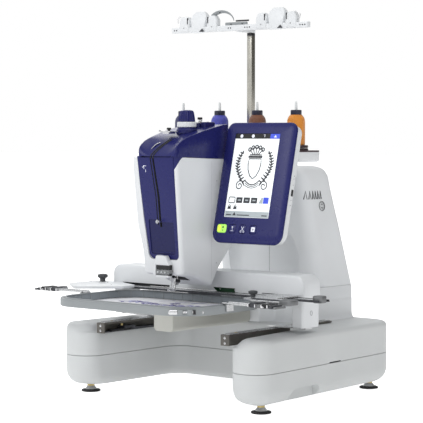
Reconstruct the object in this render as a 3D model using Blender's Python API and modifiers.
"""Single-needle free-arm embroidery machine with its hoop, frame carriage, control panel and thread stand.

Lengths below are in millimetres and become metres where a mesh is made. The needle hangs over X = 0, Y = 0 of
the working axes: X runs to the right of a person at the machine, Y runs away from them and Z runs up from the
table. DEPTH_SHIFT then moves the whole machine so that the origin is the middle of its footprint.
"""

import math

import bmesh
import bpy
from mathutils import Matrix, Vector

MM = 0.001
GAP = 0.3
DEPTH_SHIFT = 134.25
WALL = 3.0
MERGE = 0.00001

# Base: a U in plan, legs forward, on four levelling feet
BASE_FLOOR = 18.0
BASE_SEAM = 80.0
BASE_TOP = 145.0
BASE_FRONT = -53.0
BASE_REAR = 440.0
BASE_HALF_FRONT = 268.0
BASE_HALF_REAR = 240.0
LEG_INNER_HALF = 179.0
RECESS_BACK = 221.0
RECESS_BACK_HALF = 176.5
BASE_BOTTOM_ROUND = 30.0
FOOT_RADIUS = 20.0
FOOT_PLACES = {
    "foot_front_left": (-225.0, 3.0),
    "foot_front_right": (225.0, 3.0),
    "foot_rear_left": (-193.0, 407.0),
    "foot_rear_right": (193.0, 407.0),
}

# Rails for the front-to-back carriage
RAIL_INNER = 153.0
RAIL_OUTER = 175.0
RAIL_TOP = 151.6
RAIL_FRONT = -32.0
RAIL_REAR = 300.0

# Free arm, housing and column
BED_HALF = 25.0
BED_FRONT = -21.5
BED_REAR = 219.0
BED_BOTTOM = 143.0
BED_TOP = 192.6
BED_WALL = 2.5
PLATE_HALF = 20.0
PLATE_FRONT = -17.0
PLATE_REAR = 46.0
HOUSING_HALF = 140.0
HOUSING_STEP_Y = 303.0
HOUSING_STEP_Z = 189.0
COLUMN_BOTTOM = 215.0
THROAT_HALF = 94.0
THROAT_BACK = 315.0
THROAT_TOP = 347.0
THROAT_RADIUS = 64.0

# Arm and head
HEAD_HALF = 52.0
FACE_HALF = 40.0
ARM_REAR = 268.0
ARM_BACK_TOP = 466.0
SHAFT_HEIGHT = 374.0
HOOK_SHAFT_HEIGHT = 168.0
UPPER_PULLEY = 20.0
LOWER_PULLEY = 10.0
PULLEY_FRONT = 352.0
PULLEY_DEPTH = 14.0
SHAFT_RADIUS = 5.0
NEEDLE_TIP = 227.0
LEVER_HEIGHT = 361.0
LEVER_HALF = 3.5
LEVER_TIP = -43.0

# Y carriage
GANTRY_HALF = 252.0
GANTRY_LEG = 30.0
GANTRY_FRONT = 99.0
GANTRY_BACK = 157.0
GANTRY_TOP = 258.0
GANTRY_BEAM_BOTTOM = 203.0
GANTRY_LEG_BOTTOM = 155.0
SLOT_HALF = 190.0
SLOT_TOP = 217.0

# Frame carriage and hoop
BAR_HALF = 318.0
BAR_FRONT = 62.0
BAR_BACK = 96.5
BAR_BOTTOM = 213.0
BAR_THICKNESS = 4.0
HOOP_HALF = 190.0
HOOP_FRONT = -165.0
HOOP_BACK = 84.0
HOOP_BOTTOM = 194.0
HOOP_TOP = 211.0
HOOP_CORNER = 75.0
RING_THICKNESS = 6.5
HOOP_SCREW_STANDOFF = 5.0
HOOP_SCREW_HEIGHT = 202.0
CLAMP_TURN = math.radians(40)
KNOBS = {"knob_left": (-262.0, 78.0, 1.0), "knob_right": (205.0, 3.0, 0.82)}

# Operation panel
PANEL_LEFT = 62.0
PANEL_WIDTH = 173.0
PANEL_HEIGHT = 243.0
PANEL_FOOT = (45.0, 320.0)
PANEL_TILT = math.radians(13.2)
BEZEL_DEPTH = 9.0
BUTTON_PLACES = {
    "button_start_stop": 25.0,
    "button_presser_foot": 52.0,
    "button_thread_trim": 77.5,
    "button_auto_thread": 104.0,
}
BUTTON_HEIGHT = 28.0
BUTTON_SIZE = 17.0
HINGE_POINT = (150.0, 122.0, 437.0)
SWIVEL_POINT = (66.0, 122.0, 437.0)
KNUCKLE_RADIUS = 8.0

# Thread stand
STAND_HALF = 188.0
STAND_Y = 210.0
STAND_DEPTH = 76.0
STAND_BOTTOM = 477.0
STAND_TOP = 500.0
SPOOL_PLACES = {"spool_navy": -150.0, "spool_blue": -50.0, "spool_brown": 50.0, "spool_orange": 150.0}
SPOOL_BASE = 505.0
SPOOL_TOP = 588.0
SPOOL_RADIUS = 18.3
PIN_TOP = 596.0
MAST_Y = 252.0
MAST_TOP = 743.0
GUIDE_HALF = 180.0
GUIDE_BOTTOM = 746.0
GUIDE_TOP = 790.0
TENSION_PLACE = (12.0, 33.0)
TENSION_BASE = 546.7

COLOURS = {
    "white_shell": ((0.80, 0.82, 0.83), 0.35, 0.0),
    "base_white": ((0.74, 0.75, 0.75), 0.38, 0.0),
    "bed_beige": ((0.72, 0.71, 0.66), 0.4, 0.0),
    "navy": ((0.035, 0.035, 0.16), 0.25, 0.0),
    "hoop_grey": ((0.36, 0.39, 0.41), 0.45, 0.0),
    "dark_grey": ((0.07, 0.075, 0.08), 0.5, 0.0),
    "steel": ((0.62, 0.63, 0.64), 0.28, 1.0),
    "dark_steel": ((0.12, 0.125, 0.13), 0.4, 1.0),
    "rubber": ((0.02, 0.02, 0.02), 0.8, 0.0),
    "fabric": ((0.85, 0.85, 0.86), 0.9, 0.0),
    "glass": ((0.9, 0.92, 0.92), 0.08, 0.0),
    "green": ((0.45, 0.80, 0.20), 0.4, 0.0),
    "thread_navy": ((0.02, 0.025, 0.14), 0.6, 0.0),
    "thread_blue": ((0.12, 0.15, 0.62), 0.6, 0.0),
    "thread_brown": ((0.30, 0.12, 0.06), 0.6, 0.0),
    "thread_orange": ((0.90, 0.36, 0.04), 0.6, 0.0),
}


def clear_scene():
    for old in list(bpy.data.objects):
        bpy.data.objects.remove(old, do_unlink=True)


def new_collection(name):
    collection = bpy.data.collections.new(name)
    bpy.context.scene.collection.children.link(collection)
    return collection


def make_material(name):
    colour, roughness, metallic = COLOURS[name]
    material = bpy.data.materials.new(name)
    material.use_nodes = True
    shader = material.node_tree.nodes["Principled BSDF"]
    shader.inputs["Base Color"].default_value = (*colour, 1.0)
    shader.inputs["Roughness"].default_value = roughness
    shader.inputs["Metallic"].default_value = metallic
    return material


clear_scene()
PARTS = new_collection("embroidery_machine")
CUTTERS = new_collection("cutters")
MATERIALS = {name: make_material(name) for name in COLOURS}


def place(x, y, z):
    """A working point in millimetres as a world point in metres."""
    return Vector((x * MM, (y - DEPTH_SHIFT) * MM, z * MM))


def finish(name, bm, material, origin=None):
    """Make the object from a mesh in world coordinates, with its origin at a working point."""
    centre = place(*origin) if origin else Vector((0, 0, 0))
    bmesh.ops.recalc_face_normals(bm, faces=bm.faces)
    bmesh.ops.translate(bm, verts=bm.verts, vec=-centre)
    mesh = bpy.data.meshes.new(name)
    bm.to_mesh(mesh)
    bm.free()
    mesh.shade_smooth()
    mesh.set_sharp_from_angle(angle=math.radians(35))
    made = bpy.data.objects.new(name, mesh)
    made.location = centre
    if material:
        mesh.materials.append(MATERIALS[material])
        PARTS.objects.link(made)
    else:
        CUTTERS.objects.link(made)
        made.hide_render = True
        made.display_type = "WIRE"
    return made


def box_mesh(low, high):
    bm = bmesh.new()
    size = [(high[i] - low[i]) * MM for i in range(3)]
    middle = place(*[(low[i] + high[i]) / 2 for i in range(3)])
    bmesh.ops.create_cube(bm, size=1, matrix=Matrix.Translation(middle) @ Matrix.Diagonal((*size, 1)))
    return bm


def box(name, low, high, material=None, bevel=0.0, origin=None):
    made = finish(name, box_mesh(low, high), material, origin)
    if bevel:
        round_edges(made, bevel)
    return made


def round_edges(made, width, segments=2, angle=40):
    bevel = made.modifiers.new("rounded", "BEVEL")
    bevel.width = width * MM
    bevel.segments = segments
    bevel.limit_method = "ANGLE"
    bevel.angle_limit = math.radians(angle)
    return made


AXES = {
    "X": Matrix.Rotation(math.radians(90), 4, "Y"),
    "Y": Matrix.Rotation(math.radians(-90), 4, "X"),
    "Z": Matrix.Identity(4),
}


def rod(name, start, length, radius, material=None, axis="Z", top=None, sides=20, origin=None):
    """A cylinder, or a cone where top is given, that starts at a point and runs along an axis."""
    bm = bmesh.new()
    turn = Matrix.Translation(place(*start)) @ AXES[axis] @ Matrix.Translation((0, 0, length * MM / 2))
    end = radius if top is None else top
    bmesh.ops.create_cone(
        bm,
        cap_ends=True,
        segments=sides,
        radius1=radius * MM,
        radius2=end * MM,
        depth=length * MM,
        matrix=turn,
    )
    return finish(name, bm, material, origin)


def turned(name, profile, centre, material=None, sides=24):
    """A solid turned about an upright axis, from (radius, height) points given top to bottom."""
    mesh = bpy.data.meshes.new(name)
    base = profile[-1][1]
    closed = [(0, profile[0][1]), *profile, (0, base)]
    points = [(radius * MM, 0, (height - base) * MM) for radius, height in closed]
    mesh.from_pydata(points, [(i, i + 1) for i in range(len(points) - 1)], [])
    made = bpy.data.objects.new(name, mesh)
    made.location = place(*centre, base)
    mesh.materials.append(MATERIALS[material])
    PARTS.objects.link(made)
    screw = made.modifiers.new("turned", "SCREW")
    screw.steps = screw.render_steps = sides
    screw.use_merge_vertices = True
    screw.merge_threshold = MERGE
    screw.use_smooth_shade = True
    return made


def bridge(bm, rings):
    """Quads between each ring of vertices and the next."""
    for lower, upper in zip(rings, rings[1:]):
        count = len(lower)
        for i in range(count):
            j = (i + 1) % count
            bm.faces.new((lower[i], lower[j], upper[j], upper[i]))


def rounded_outline(corners, steps=4):
    """Points of a polygon given as (a, b, radius) corners, each with a radius turned into an arc."""
    points = []
    for i, (a, b, radius) in enumerate(corners):
        here = Vector((a, b))
        if not radius:
            points.append((a, b))
            continue
        before = (Vector(corners[i - 1][:2]) - here).normalized()
        after = (Vector(corners[(i + 1) % len(corners)][:2]) - here).normalized()
        half = before.angle(after) / 2
        reach = radius / math.tan(half)
        centre = here + (before + after).normalized() * radius / math.sin(half)
        first = here + before * reach - centre
        last = here + after * reach - centre
        sweep = first.angle_signed(last)
        for k in range(steps + 1):
            turned_arm = Matrix.Rotation(-sweep * k / steps, 2) @ first
            points.append(tuple(centre + turned_arm))
    return points


def loft(name, levels, material=None, first_cap=True, last_cap=True, origin=None):
    """A skin through rings of (x, y, z) points, closed at the ends where asked."""
    bm = bmesh.new()
    rings = [[bm.verts.new(place(*point)) for point in level] for level in levels]
    bridge(bm, rings)
    if first_cap:
        bm.faces.new(rings[0])
    if last_cap:
        bm.faces.new(rings[-1])
    return finish(name, bm, material, origin)


PLANES = {
    "plan": Matrix.Identity(3),
    "side": Matrix(((0, 0, 1), (1, 0, 0), (0, 1, 0))),
    "front": Matrix(((1, 0, 0), (0, 0, 1), (0, 1, 0))),
}


def extruded(name, plane, outline, low, high, material=None, origin=None):
    """A flat outline, filled on both sides, with its thickness from one height to another over its plane."""
    curve = bpy.data.curves.new(name + "_outline", "CURVE")
    curve.dimensions = "2D"
    curve.fill_mode = "BOTH"
    curve.extrude = (high - low) / 2 * MM
    spline = curve.splines.new("POLY")
    spline.points.add(len(outline) - 1)
    for point, (across, along) in zip(spline.points, outline):
        point.co = (across * MM, along * MM, 0, 1)
    spline.use_cyclic_u = True
    drawn = bpy.data.objects.new(curve.name, curve)
    PARTS.objects.link(drawn)
    graph = bpy.context.evaluated_depsgraph_get()
    solid = bpy.data.meshes.new_from_object(drawn.evaluated_get(graph))
    bm = bmesh.new()
    bm.from_mesh(solid)
    bmesh.ops.remove_doubles(bm, verts=bm.verts, dist=MERGE)
    middle = PLANES[plane] @ Vector((0, 0, (low + high) / 2))
    bmesh.ops.transform(bm, verts=bm.verts, matrix=PLANES[plane].to_4x4())
    bmesh.ops.translate(bm, verts=bm.verts, vec=place(*middle))
    bpy.data.objects.remove(drawn)
    bpy.data.meshes.remove(solid)
    return finish(name, bm, material, origin)


def plate(name, outline, low, high, material=None):
    """An outline in X and Y raised from one height to another."""
    return extruded(name, "plan", outline, low, high, material)


def side_plate(name, outline, low, high, material=None):
    """An outline in Y and Z run across the machine from one X to another."""
    return extruded(name, "side", outline, low, high, material)


def front_plate(name, outline, low, high, material=None, origin=None):
    """An outline in X and Z run back from one Y to another."""
    return extruded(name, "front", outline, low, high, material, origin)


def combine(made, tool, operation):
    boolean = made.modifiers.new(tool.name, "BOOLEAN")
    boolean.operation = operation
    boolean.object = tool
    boolean.solver = "EXACT"
    return made


def cut(made, *tools):
    for tool in tools:
        combine(made, tool, "DIFFERENCE")
    return made


def join(made, *tools):
    for tool in tools:
        combine(made, tool, "UNION")
    return made


def thicken(made, thickness=WALL):
    """Turn an open skin into a wall that grows inwards."""
    solid = made.modifiers.new("wall", "SOLIDIFY")
    solid.thickness = thickness * MM
    solid.offset = -1
    solid.use_even_offset = True
    return made


def base_level(height, outer_in, inner_in):
    """The base's outline at a height, drawn in from its full size outside and between the legs."""
    toe = 42 - 0.9 * outer_in
    heel = 60 - 0.9 * outer_in
    crotch = 45 + 0.3 * inner_in
    instep = 41 - 1.0 * inner_in
    corners = [
        (BASE_HALF_FRONT - outer_in, BASE_FRONT + outer_in, toe),
        (BASE_HALF_REAR - outer_in, BASE_REAR - outer_in, heel),
        (-BASE_HALF_REAR + outer_in, BASE_REAR - outer_in, heel),
        (-BASE_HALF_FRONT + outer_in, BASE_FRONT + outer_in, toe),
        (-LEG_INNER_HALF - inner_in, BASE_FRONT + outer_in, instep),
        (-RECESS_BACK_HALF - inner_in, RECESS_BACK + inner_in * 0.75, crotch),
        (RECESS_BACK_HALF + inner_in, RECESS_BACK + inner_in * 0.75, crotch),
        (LEG_INNER_HALF + inner_in, BASE_FRONT + outer_in, instep),
    ]
    return [(x, y, height) for x, y in rounded_outline(corners)]


def tray_levels(wall, top):
    """Rings of the lower base, whose bottom edge is rounded, for a skin that lies a wall's depth inside."""
    radius = BASE_BOTTOM_ROUND - wall
    levels = []
    turn_steps = 4
    for k in range(turn_steps + 1):
        angle = math.pi / 2 * k / turn_steps
        drawn_in = radius * (1 - math.sin(angle))
        height = BASE_FLOOR + wall + radius * (1 - math.cos(angle))
        levels.append(base_level(height, wall + drawn_in * 0.6, wall + drawn_in))
    levels.append(base_level(top, wall, wall))
    return levels


def make_base():
    tray = loft("base_tray", tray_levels(0, BASE_SEAM - GAP), "base_white")
    cut(tray, loft("tray_hollow", tray_levels(WALL, BASE_SEAM + 5)))
    top_round = 9.0
    levels = [base_level(BASE_SEAM, 0, 0), base_level(BASE_TOP - top_round, 0, 0)]
    levels.append(base_level(BASE_TOP - top_round * 0.3, top_round * 0.3, top_round * 0.3))
    levels.append(base_level(BASE_TOP, top_round, top_round))
    cover = loft("base_cover", levels, "base_white")
    lid = top_round + WALL
    hollow = [base_level(BASE_SEAM - 5, WALL, WALL), base_level(BASE_TOP - lid, WALL, WALL)]
    hollow.append(base_level(BASE_TOP - WALL, lid, lid))
    cut(cover, loft("cover_hollow", hollow))


def make_feet():
    for name, (x, y) in FOOT_PLACES.items():
        stem = [(9, BASE_FLOOR - GAP), (9, 15.3), (8, 15), (11, 8)]
        pad = [(FOOT_RADIUS, 5), (FOOT_RADIUS, 2), (17, 0)]
        turned(name, stem + pad, (x, y), "rubber", sides=20)


def make_rails():
    for side, name in ((-1, "rail_left"), (1, "rail_right")):
        near, far = sorted((side * RAIL_INNER, side * RAIL_OUTER))
        rail = box(name, (near, RAIL_FRONT, 128), (far, 160, RAIL_TOP), "dark_steel")
        strip = box(name + "_strip", (near, 150, BASE_TOP + GAP), (far, RAIL_REAR, RAIL_TOP))
        groove_near, groove_far = sorted((side * (RAIL_INNER - 5), side * (RAIL_INNER + 6)))
        groove = box(name + "_groove", (groove_near, RAIL_FRONT + 4, 134), (groove_far, 170, 144))
        cut(join(rail, strip), groove)


def bed_outline():
    corners = [
        (-BED_HALF, BED_BOTTOM, 7),
        (BED_HALF, BED_BOTTOM, 7),
        (BED_HALF, BED_TOP, 4),
        (-BED_HALF, BED_TOP, 4),
    ]
    return rounded_outline(corners, steps=3)


def make_bed():
    levels = [[(x, y, z) for x, z in bed_outline()] for y in (BED_FRONT, BED_REAR)]
    bed = loft("bed_cover", levels, "bed_beige", first_cap=False, last_cap=False)
    thicken(bed, BED_WALL)
    half, front, rear = PLATE_HALF, PLATE_FRONT, PLATE_REAR
    low, high = (-half - GAP, front - GAP, BED_TOP - 6), (half + GAP, rear + GAP, BED_TOP + 5)
    cut(bed, box("plate_opening", low, high))
    needle_plate = box("needle_plate", (-half, front, BED_TOP - 2), (half, rear, BED_TOP), "steel")
    cut(needle_plate, rod("needle_hole", (0, 0, BED_TOP - 5), 10, 2.2, sides=12))
    hinge = (0, BED_FRONT - 2, BED_BOTTOM)
    front_plate("hook_cover", bed_outline(), BED_FRONT - 3.5, BED_FRONT - GAP, "bed_beige", hinge)


def housing_outline(inset):
    corners = [
        (HOUSING_HALF - inset, 424 - inset, 25),
        (-HOUSING_HALF + inset, 424 - inset, 25),
        (-HOUSING_HALF + inset, 252 + inset, 18),
        (-BED_HALF - 22, 220 + inset, 10),
        (BED_HALF + 22, 220 + inset, 10),
        (HOUSING_HALF - inset, 252 + inset, 18),
    ]
    return rounded_outline(corners, steps=3)


def make_housing():
    housing = plate("lower_housing", housing_outline(0), BASE_TOP + GAP, HOUSING_STEP_Z, "white_shell")
    step_half = HOUSING_HALF - 1
    step_corners = [
        (step_half, 422, 25),
        (-step_half, 422, 25),
        (-step_half, HOUSING_STEP_Y, 12),
        (step_half, HOUSING_STEP_Y, 12),
    ]
    step_outline = rounded_outline(step_corners, steps=3)
    upper = plate("housing_step", step_outline, HOUSING_STEP_Z - 10, COLUMN_BOTTOM - GAP)
    hollow = plate("housing_hollow", housing_outline(WALL), BASE_TOP - 5, HOUSING_STEP_Z - WALL)
    rise = box("housing_rise", (-130, HOUSING_STEP_Y + 8, BASE_TOP), (130, 410, COLUMN_BOTTOM + 5))
    bed_way = box("housing_bed_way", (-BED_HALF + 4, 200, BED_BOTTOM + 8), (BED_HALF - 4, 240, BED_TOP - 10))
    cut(join(housing, upper), hollow, rise, bed_way)


def column_level(height, front, rear, half, inset=0.0):
    corners = [
        (half - inset, rear - inset, 24),
        (-half + inset, rear - inset, 24),
        (-half + inset, front + inset, 14),
        (half - inset, front + inset, 14),
    ]
    return [(x, y, height) for x, y in rounded_outline(corners, steps=3)]


COLUMN_LEVELS = [
    (COLUMN_BOTTOM, 302, 422, 139),
    (341, 284, 402, 130),
    (446, 271, 386, 118),
    (460, 275, 380, 112),
    (466, 284, 368, 100),
]


def throat_outline():
    """The open throat seen from the side: a flat back that curls forward at the top."""
    corners = [
        (150, COLUMN_BOTTOM - 8, 0),
        (THROAT_BACK, COLUMN_BOTTOM - 8, 0),
        (THROAT_BACK, THROAT_TOP, THROAT_RADIUS),
        (150, THROAT_TOP, 0),
    ]
    return rounded_outline(corners, steps=6)


def half_space(side):
    """A block that takes away everything on one side of the middle plane."""
    low, high = (-400, GAP / 2) if side > 0 else (-GAP / 2, 400)
    name = "middle_right" if side > 0 else "middle_left"
    if name in bpy.data.objects:
        return bpy.data.objects[name]
    return box(name, (low, -300, 0), (high, 700, 700))


def make_column():
    hollow_levels = [column_level(z, y0, y1, half, WALL) for z, y0, y1, half in COLUMN_LEVELS[1:-1]]
    hollow_levels.insert(0, column_level(COLUMN_BOTTOM - 5, 303, 423, 139, WALL))
    hollow_levels[-1] = column_level(466 - WALL, 275, 376, 106, WALL)
    hollow = loft("column_hollow", hollow_levels)
    throat = side_plate("throat", throat_outline(), -THROAT_HALF, THROAT_HALF)
    wall_outline = [(y + (WALL if y > 200 else 0), z + (WALL if z > 300 else 0)) for y, z in throat_outline()]
    throat_wall = side_plate("throat_wall", wall_outline, -THROAT_HALF - WALL, THROAT_HALF + WALL)
    cut(hollow, throat_wall)
    arm_way = box("arm_way", (-HEAD_HALF + 4, 240, 360), (HEAD_HALF - 4, 300, 458))
    for side, name in ((-1, "column_shell_left"), (1, "column_shell_right")):
        levels = [column_level(*level) for level in COLUMN_LEVELS]
        shell = loft(name, levels, "white_shell")
        cut(shell, throat, hollow, arm_way, half_space(side))


def make_arm():
    outer = rounded_outline(
        [
            (-44, 488, 0),
            (113, 482, 0),
            (118, ARM_BACK_TOP, 0),
            (ARM_REAR, ARM_BACK_TOP, 0),
            (ARM_REAR, 352, 0),
            (236, 350, 0),
            (186, 350, 50),
            (126, 305, 20),
            (85, 261, 12),
            (65, 228, 8),
            (17, 249, 12),
            (-25, 256, 6),
        ],
        steps=3,
    )
    inner = [
        (-39, 484.5),
        (109, 478.5),
        (114, 462.5),
        (ARM_REAR + 4, 462.5),
        (ARM_REAR + 4, 356),
        (176, 354),
        (119, 306),
        (80, 265),
        (61, 234),
        (17, 253.5),
        (-20, 260.5),
    ]
    hollow = side_plate("arm_hollow", inner, -HEAD_HALF + WALL, HEAD_HALF - WALL)
    window = [(-70, 285.7), (-10.9, 285.7), (-27, 483.3), (-70, 483.3)]
    face_window = side_plate("face_window", window, -FACE_HALF - GAP, FACE_HALF + GAP)
    needle_way = box("needle_way", (-20, -34, 215), (20, 34, 268))
    for side, name in ((-1, "arm_shell_left"), (1, "arm_shell_right")):
        low, high = sorted((GAP / 2 * side, HEAD_HALF * side))
        shell = side_plate(name, outer, low, high, "white_shell")
        cut(shell, hollow, face_window, needle_way)
    face = [(-46, 483), (-24.6, 286), (-18.1, 286), (-39, 483)]
    cover = side_plate("head_front_cover", face, -FACE_HALF, FACE_HALF, "navy")
    slot = [(-60, 345), (-10, 345), (-10, 440), (-60, 440)]
    cut(cover, side_plate("take_up_slot", slot, -6, 6))


def make_hood():
    outline = rounded_outline(
        [
            (-46, 490, 0),
            (-48, 512, 12),
            (-14, 530, 30),
            (60, 548, 60),
            (113, 553, 3),
            (113, 484.6, 0),
        ],
        steps=3,
    )
    hood = side_plate("head_top_cover", outline, -HEAD_HALF, HEAD_HALF, "navy")
    round_edges(hood, 7, 2, 60)


def make_threader():
    outline = [(-37.5, 251), (-25.8, 251), (-27.8, 280), (-29.5, 291), (-34, 291), (-37.5, 284)]
    housing = side_plate("threader_housing", outline, -13, 31, "white_shell")
    light_gap = box("light_gap", (-9, -50, 264), (40, -33, 268.5))
    cut(housing, light_gap)


def make_inside():
    motor = rod("main_motor", (62, 353, 250), 92, 27, "dark_steel", sides=16)
    join(motor, rod("motor_spindle", (62, 353, 340), 18, 4, sides=12))
    front = 8
    length = PULLEY_FRONT - front + 12
    crank = rod("crank", (0, front - 2, SHAFT_HEIGHT), front, 15, axis="Y", sides=16)
    hook_body = rod("hook_body", (0, -20, HOOK_SHAFT_HEIGHT), 30, 14.5, axis="Y", sides=20)
    shafts = (
        ("main_shaft", SHAFT_HEIGHT, UPPER_PULLEY, crank),
        ("hook_shaft", HOOK_SHAFT_HEIGHT, LOWER_PULLEY, hook_body),
    )
    for name, height, radius, end_piece in shafts:
        start = (0, front, height)
        shaft = rod(name, start, length, SHAFT_RADIUS, "steel", "Y", sides=12, origin=start)
        pulley = rod(name + "_pulley", (0, PULLEY_FRONT, height), PULLEY_DEPTH, radius, axis="Y", sides=20)
        join(shaft, end_piece, pulley)
    well = rod("hook_well", (0, -25, HOOK_SHAFT_HEIGHT), 20, 11, axis="Y", sides=16)
    cut(bpy.data.objects["hook_shaft"], well)
    make_belt()


def make_belt():
    """A flat loop round both pulleys, one oval skin with a wall."""
    slack = 2.5
    steps = 10
    edge = 1.5
    loop = []
    ends = ((0, UPPER_PULLEY, SHAFT_HEIGHT), (math.pi, LOWER_PULLEY, HOOK_SHAFT_HEIGHT))
    for start, radius, height in ends:
        for k in range(steps + 1):
            angle = start + math.pi * k / steps
            across = (radius + slack) * math.cos(angle)
            loop.append((across, height + (radius + slack) * math.sin(angle)))
    front, rear = PULLEY_FRONT + edge, PULLEY_FRONT + PULLEY_DEPTH - edge
    levels = [[(x, y, z) for x, z in loop] for y in (front, rear)]
    belt = loft("drive_belt", levels, "rubber", first_cap=False, last_cap=False)
    thicken(belt, 1.8)


def make_needle_parts():
    needle = rod("needle_bar", (0, 0, 252), 196, 3.6, "steel", sides=12, origin=(0, 0, NEEDLE_TIP))
    clamp = box("needle_clamp", (-5, -5.5, 254), (7, 5.5, 266))
    shank = rod("needle_shank", (0, 0, 236), 20, 1.1, sides=10)
    tip = rod("needle_tip", (0, 0, NEEDLE_TIP), 10, 0.25, top=0.95, sides=10)
    join(needle, clamp, shank, tip)
    presser = rod("presser_foot", (0, 16, 244), 112, 3.4, "steel", sides=12, origin=(0, 16, 224))
    ankle = box("foot_ankle", (-3, 6.2, 232), (3, 19, 252))
    sole = rod("foot_sole", (0, 0, 222), 2.2, 9, sides=16)
    sole_hole = rod("foot_sole_hole", (0, 0, 215), 15, 4.5, sides=12)
    riser = box("foot_riser", (-2.5, 6.2, 221.8), (2.5, 12, 240))
    cut(join(presser, ankle, sole, riser), sole_hole)


def make_take_up():
    low, high = LEVER_HEIGHT - LEVER_HALF, LEVER_HEIGHT + LEVER_HALF
    pivot = (0, -14, LEVER_HEIGHT)
    lever = box("take_up_lever", (-2, LEVER_TIP, low), (2, pivot[1], high), "steel", origin=pivot)
    eye = rod("take_up_eye", (-2, LEVER_TIP, LEVER_HEIGHT), 4, 5.5, axis="X", sides=14)
    hole = rod("take_up_hole", (-5, LEVER_TIP, LEVER_HEIGHT), 10, 2.4, axis="X", sides=10)
    cut(join(lever, eye), hole)


def gantry_outline():
    leg_inner = GANTRY_HALF - GANTRY_LEG
    return rounded_outline(
        [
            (-GANTRY_HALF, GANTRY_LEG_BOTTOM, 4),
            (-leg_inner, GANTRY_LEG_BOTTOM, 0),
            (-leg_inner, GANTRY_BEAM_BOTTOM, 0),
            (leg_inner, GANTRY_BEAM_BOTTOM, 0),
            (leg_inner, GANTRY_LEG_BOTTOM, 0),
            (GANTRY_HALF, GANTRY_LEG_BOTTOM, 4),
            (GANTRY_HALF, GANTRY_TOP, 14),
            (-GANTRY_HALF, GANTRY_TOP, 14),
        ],
        steps=3,
    )


def make_gantry():
    cover = front_plate("gantry_cover", gantry_outline(), GANTRY_FRONT, GANTRY_BACK, "white_shell")
    low, high = GANTRY_FRONT + WALL, GANTRY_BACK - WALL
    wide = GANTRY_HALF - WALL
    bottom, top = GANTRY_BEAM_BOTTOM + WALL, GANTRY_TOP - WALL
    beam_hollow = box("gantry_hollow", (-wide, low, bottom), (wide, high, top))
    round_edges(beam_hollow, 10, 2)
    slot = box("gantry_slot", (-SLOT_HALF, GANTRY_FRONT - 10, 190), (SLOT_HALF, high - 1, SLOT_TOP))
    cut(cover, beam_hollow, slot)
    for side in (-1, 1):
        near, far = sorted((side * (GANTRY_HALF - GANTRY_LEG + WALL), side * (wide - 1)))
        leg = box(f"gantry_leg_{side}", (near, low + 1, 140), (far, high - 1, 215))
        cut(cover, leg)
    frame = box("gantry_frame", (-244, 118, 224), (244, 140, 244), "steel")
    for side in (-1, 1):
        near, far = sorted((side * 230, side * 244))
        leg = box(f"frame_leg_{side}", (near, 118.5, 152.4), (far, 139.5, 230))
        near, far = sorted((side * 151, side * 244))
        shoe = box(f"frame_shoe_{side}", (near, 118, 152.1), (far, 140, 154.6))
        join(frame, leg, shoe)


def make_frame_carriage():
    top = BAR_BOTTOM + BAR_THICKNESS
    bar = box("frame_carriage", (-BAR_HALF, BAR_FRONT, BAR_BOTTOM), (BAR_HALF, BAR_BACK, top), "dark_grey")
    block = box("carriage_block", (-36, 90, 206), (36, 115, 215))
    join(bar, block)
    left = [(-292, 98, 10), (-296, 12, 12), (-232, -40, 10), (-156, 26, 8), (-156, 64, 6), (-228, 98, 10)]
    right = [(190, 98, 6), (190, -10, 8), (222, -27, 8), (304, -27, 6), (312, 4, 6), (250, 14, 12), (246, 98, 8)]
    arms = {"holder_arm_left": left, "holder_arm_right": right}
    for name, corners in arms.items():
        plate(name, rounded_outline(corners, steps=3), top + GAP, top + GAP + 3.5, "white_shell")
    knob_base = top + GAP + 3.5 + GAP
    for name, (x, y, scale) in KNOBS.items():
        rises = [(7.5, 16.5), (10.8, 14), (9.8, 9), (5.8, 6.5), (5.8, 0)]
        profile = [(radius * scale, knob_base + rise * scale) for radius, rise in rises]
        turned(name, profile, (x, y), "dark_grey", sides=18)


def hoop_outline(inset):
    corner = HOOP_CORNER - inset
    corners = [
        (HOOP_HALF - inset, HOOP_FRONT + inset, corner),
        (HOOP_HALF - inset, HOOP_BACK - inset, corner),
        (-HOOP_HALF + inset, HOOP_BACK - inset, corner),
        (-HOOP_HALF + inset, HOOP_FRONT + inset, corner),
    ]
    return rounded_outline(corners, steps=7)


def ring(name, inset, thickness, low, high, material):
    made = plate(name, hoop_outline(inset), low, high, material)
    return cut(made, plate(name + "_hole", hoop_outline(inset + thickness), low - 5, high + 5))


def at_corner(made):
    """Carry a piece made at the middle of the hoop's front round to its front right corner."""
    arc_y = HOOP_FRONT + HOOP_CORNER
    turn = Matrix.Translation(place(HOOP_HALF - HOOP_CORNER, arc_y, 0)) @ Matrix.Rotation(CLAMP_TURN, 4, "Z")
    turn = turn @ Matrix.Translation(-place(0, arc_y, 0))
    start = made.location.copy()
    if start.length:
        made.location = turn @ start
    made.data.transform(Matrix.Translation(-made.location) @ turn @ Matrix.Translation(start))
    return made


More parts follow.
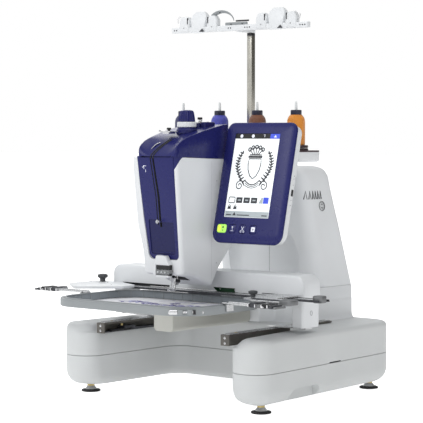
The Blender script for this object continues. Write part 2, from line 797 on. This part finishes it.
def make_hoop():
    outer = ring("hoop_outer", 0, RING_THICKNESS, HOOP_BOTTOM, HOOP_TOP - 1.5, "hoop_grey")
    split_end = HOOP_FRONT + RING_THICKNESS + 0.4
    split = at_corner(box("hoop_split", (-1.5, HOOP_FRONT - 20, 180), (1.5, split_end, 230)))
    ears = []
    for side in (-1, 1):
        near, far = sorted((side * 4, side * 14))
        ear = box(f"hoop_ear_{side}", (near, HOOP_FRONT - 9, 197), (far, HOOP_FRONT + 2.5, 207))
        ears.append(at_corner(ear))
    cut(join(outer, *ears), split)
    bore_start = (-20, HOOP_FRONT - HOOP_SCREW_STANDOFF, HOOP_SCREW_HEIGHT)
    bore = at_corner(rod("hoop_screw_bore", bore_start, 40, 2.4, axis="X", sides=12))
    cut(outer, bore)
    inset = RING_THICKNESS + GAP
    ring("hoop_inner", inset, RING_THICKNESS, HOOP_BOTTOM + 1.5, HOOP_TOP, "hoop_grey")
    fabric = plate("hoop_fabric", hoop_outline(inset + 0.2), HOOP_BOTTOM, HOOP_BOTTOM + 1.2, "fabric")
    cut(fabric, rod("stitch_opening", (0, 0, 180), 30, 3, sides=12))
    axis_y = HOOP_FRONT - HOOP_SCREW_STANDOFF
    middle = (0, axis_y, HOOP_SCREW_HEIGHT)
    screw = at_corner(rod("hoop_screw", (-29, *middle[1:]), 49, 2.1, "steel", "X", sides=12, origin=middle))
    join(screw, at_corner(rod("screw_grip", (-31, *middle[1:]), 17, 5, axis="X", sides=14)))
    for side, name in ((-1, "hoop_bracket_left"), (1, "hoop_bracket_right")):
        near, far = sorted((side * (HOOP_HALF - 12), side * 300))
        bracket = box(name, (near, -70, HOOP_TOP + GAP), (far, -34, HOOP_TOP + 2.2), "steel")
        near, far = sorted((side * (HOOP_HALF + GAP), side * (HOOP_HALF + 3)))
        skirt = box(name + "_skirt", (near, -70, 198), (far, -34, HOOP_TOP + 1))
        near, far = sorted((side * 255, side * 306))
        clip = box(name + "_clip", (near, -58, HOOP_TOP + 1), (far, -44, HOOP_TOP + 5))
        join(bracket, skirt, clip)


def panel_point(u, v, out=0.0):
    """A point of the panel: u across, v up its slope and out from its face."""
    y = PANEL_FOOT[0] + v * math.sin(PANEL_TILT) - out * math.cos(PANEL_TILT)
    z = PANEL_FOOT[1] + v * math.cos(PANEL_TILT) + out * math.sin(PANEL_TILT)
    return (PANEL_LEFT + u, y, z)


def panel_slab(name, bounds, radius, back, front, material=None, steps=3, origin=None):
    left, low, right, high = bounds
    corners = [(left, low, radius), (right, low, radius), (right, high, radius), (left, high, radius)]
    outline = rounded_outline(corners, steps)
    levels = [[panel_point(u, v, out) for u, v in outline] for out in (back, front)]
    return loft(name, levels, material, origin=origin)


def make_panel():
    full = (0, 0, PANEL_WIDTH, PANEL_HEIGHT)
    bezel = panel_slab("panel_bezel", full, 22, -BEZEL_DEPTH, 0, "navy", 4, HINGE_POINT)
    screen = (25.5, 51, 137, 220)
    pocket = panel_slab("screen_pocket", screen, 2, -3, 5, None, 1)
    cut(bezel, pocket)
    for name, u in BUTTON_PLACES.items():
        half = BUTTON_SIZE / 2
        hole = (u - half - GAP, BUTTON_HEIGHT - half - GAP, u + half + GAP, BUTTON_HEIGHT + half + GAP)
        cut(bezel, panel_slab(name + "_well", hole, 4, -5.5, 5, None, 2))
        cap = (u - half, BUTTON_HEIGHT - half, u + half, BUTTON_HEIGHT + half)
        colour = "green" if name == "button_start_stop" else "navy"
        button_origin = panel_point(u, BUTTON_HEIGHT)
        panel_slab(name, cap, 3.7, -3.2, 0.8, colour, 2, button_origin)
    edge = 0.5
    glass = (screen[0] + edge, screen[1] + edge, screen[2] - edge, screen[3] - edge)
    panel_slab("panel_glass", glass, 1.6, -2.7, -0.4, "glass", 1, HINGE_POINT)
    levels = []
    for inset, out in ((3, -BEZEL_DEPTH - 2 * GAP), (4, -20), (12, -29), (24, -33)):
        left, low = inset, inset
        right, high = PANEL_WIDTH - inset, PANEL_HEIGHT - inset
        corners = [(left, low, 20), (right, low, 20), (right, high, 20), (left, high, 20)]
        levels.append([panel_point(u, v, out) for u, v in rounded_outline(corners, 4)])
    rear = loft("panel_back", levels, "white_shell", first_cap=False, origin=HINGE_POINT)
    thicken(rear, 2.5)
    lug = box("panel_lug", (112, 97, 425), (152, 133, 449))
    knuckle_way = rod("knuckle_way", (60, *HINGE_POINT[1:]), 110, KNUCKLE_RADIUS + 0.4, axis="X", sides=20)
    cut(join(rear, lug), knuckle_way)
    make_panel_arm()


def make_panel_arm():
    foot = (*SWIVEL_POINT[:2], 418)
    arm = rod("panel_arm", foot, 38, 13, "white_shell", sides=20, origin=SWIVEL_POINT)
    barrel = (SWIVEL_POINT[0], *HINGE_POINT[1:])
    knuckle = rod("panel_knuckle", barrel, 90, KNUCKLE_RADIUS, axis="X", sides=20)
    join(arm, knuckle)


def make_spool_stand():
    stand_front, stand_rear = STAND_Y - STAND_DEPTH / 2, STAND_Y + STAND_DEPTH / 2
    corners = [
        (STAND_HALF, stand_front, 36),
        (STAND_HALF, stand_rear, 36),
        (-STAND_HALF, stand_rear, 36),
        (-STAND_HALF, stand_front, 36),
    ]
    outline = rounded_outline(corners, steps=5)
    stand = plate("spool_stand", outline, STAND_BOTTOM, STAND_TOP, "white_shell")
    neck = box("stand_neck", (-40, 186, ARM_BACK_TOP + GAP), (40, 238, STAND_BOTTOM + 5))
    join(stand, neck)
    for name, x in SPOOL_PLACES.items():
        seat = rod(name + "_seat", (x, STAND_Y, STAND_TOP - 2), 5, 23, sides=20)
        pin = rod(name + "_pin", (x, STAND_Y, STAND_TOP - 2), PIN_TOP - STAND_TOP + 2, 3.2, top=2.4, sides=10)
        join(stand, seat, pin)
    mast_way = box("mast_way", (-10, MAST_Y - 10, 470), (10, MAST_Y + 20, 520))
    cut(stand, mast_way)
    for name, x in SPOOL_PLACES.items():
        make_spool(name, x)


def make_spool(name, x):
    colour = name.replace("spool_", "thread_")
    cap, shoulder = 11.5, SPOOL_TOP - 11
    profile = [(cap, SPOOL_TOP), (cap, shoulder), (13, shoulder)]
    profile += [(SPOOL_RADIUS, shoulder - 12), (SPOOL_RADIUS, SPOOL_BASE + 4), (16, SPOOL_BASE)]
    spool = turned(name, profile, (x, STAND_Y), colour, sides=20)
    cut(spool, rod(name + "_bore", (x, STAND_Y, SPOOL_BASE - 5), 100, 4.6, sides=12))


def make_mast():
    holder = box("mast_holder", (-9, MAST_Y - 9, 388), (9, MAST_Y + 9, 545), "steel")
    cut(holder, box("mast_bore", (-6.8, MAST_Y - 6.8, 380), (6.8, MAST_Y + 6.8, 550)))
    socket = box("mast_socket", (-9.3, MAST_Y - 9.3, 455), (9.3, MAST_Y + 9.3, 475))
    for name in ("arm_shell_left", "arm_shell_right"):
        cut(bpy.data.objects[name], socket)
    box("mast", (-6.2, MAST_Y - 6.2, 512), (6.2, MAST_Y + 6.2, MAST_TOP), "steel")
    pivot = (0, MAST_Y, GUIDE_BOTTOM)
    low, high = (-GUIDE_HALF, 206.5, GUIDE_BOTTOM), (GUIDE_HALF, 217.5, GUIDE_BOTTOM + 12)
    bar = box("guide_bar", low, high, "white_shell", origin=pivot)
    link = box("guide_link", (-8, 210, MAST_TOP + GAP), (8, MAST_Y + 8, GUIDE_BOTTOM + 3))
    join(bar, link)
    for side in (-1, 1):
        near, far = sorted((side * 30, side * 130))
        clip = box(f"thread_clip_{side}", (near, 204, GUIDE_BOTTOM + 10), (far, 226, GUIDE_BOTTOM + 18))
        near, far = sorted((side * 42, side * 118))
        crest = box(f"thread_crest_{side}", (near, 208, GUIDE_BOTTOM + 14), (far, 222, GUIDE_TOP))
        round_edges(crest, 6, 2)
        join(bar, clip, crest)


def make_thread_path():
    rises = [(10, 34), (13.5, 31), (15, 5), (19, 3), (19, 0)]
    profile = [(radius, TENSION_BASE + rise) for radius, rise in rises]
    turned("tension_knob", profile, TENSION_PLACE, "navy")
    front = box("thread_guide_front", (-12, -22, 536), (14, 8, 538.5), "steel")
    front_post = rod("front_guide_screw", (1, -8, 533.6), 12, 4.6, sides=14)
    join(front, front_post)
    rear = box("thread_guide_rear", (-10, 66, 554.5), (16, 100, 557), "steel")
    rear_post = rod("rear_guide_screw", (3, 84, 554.6), 12, 5, sides=14)
    join(rear, rear_post)


def make_power_inlet():
    inlet = box("power_inlet", (-222, BASE_REAR + GAP, 84), (-180, BASE_REAR + 3.5, 116), "dark_grey")
    cut(inlet, box("inlet_socket", (-214, BASE_REAR + 1.2, 90), (-188, BASE_REAR + 9, 110)))


make_base()
make_feet()
make_rails()
make_bed()
make_housing()
make_column()
make_arm()
make_hood()
make_threader()
make_inside()
make_needle_parts()
make_take_up()
make_gantry()
make_frame_carriage()
make_hoop()
make_panel()
make_spool_stand()
make_mast()
make_thread_path()
make_power_inlet()
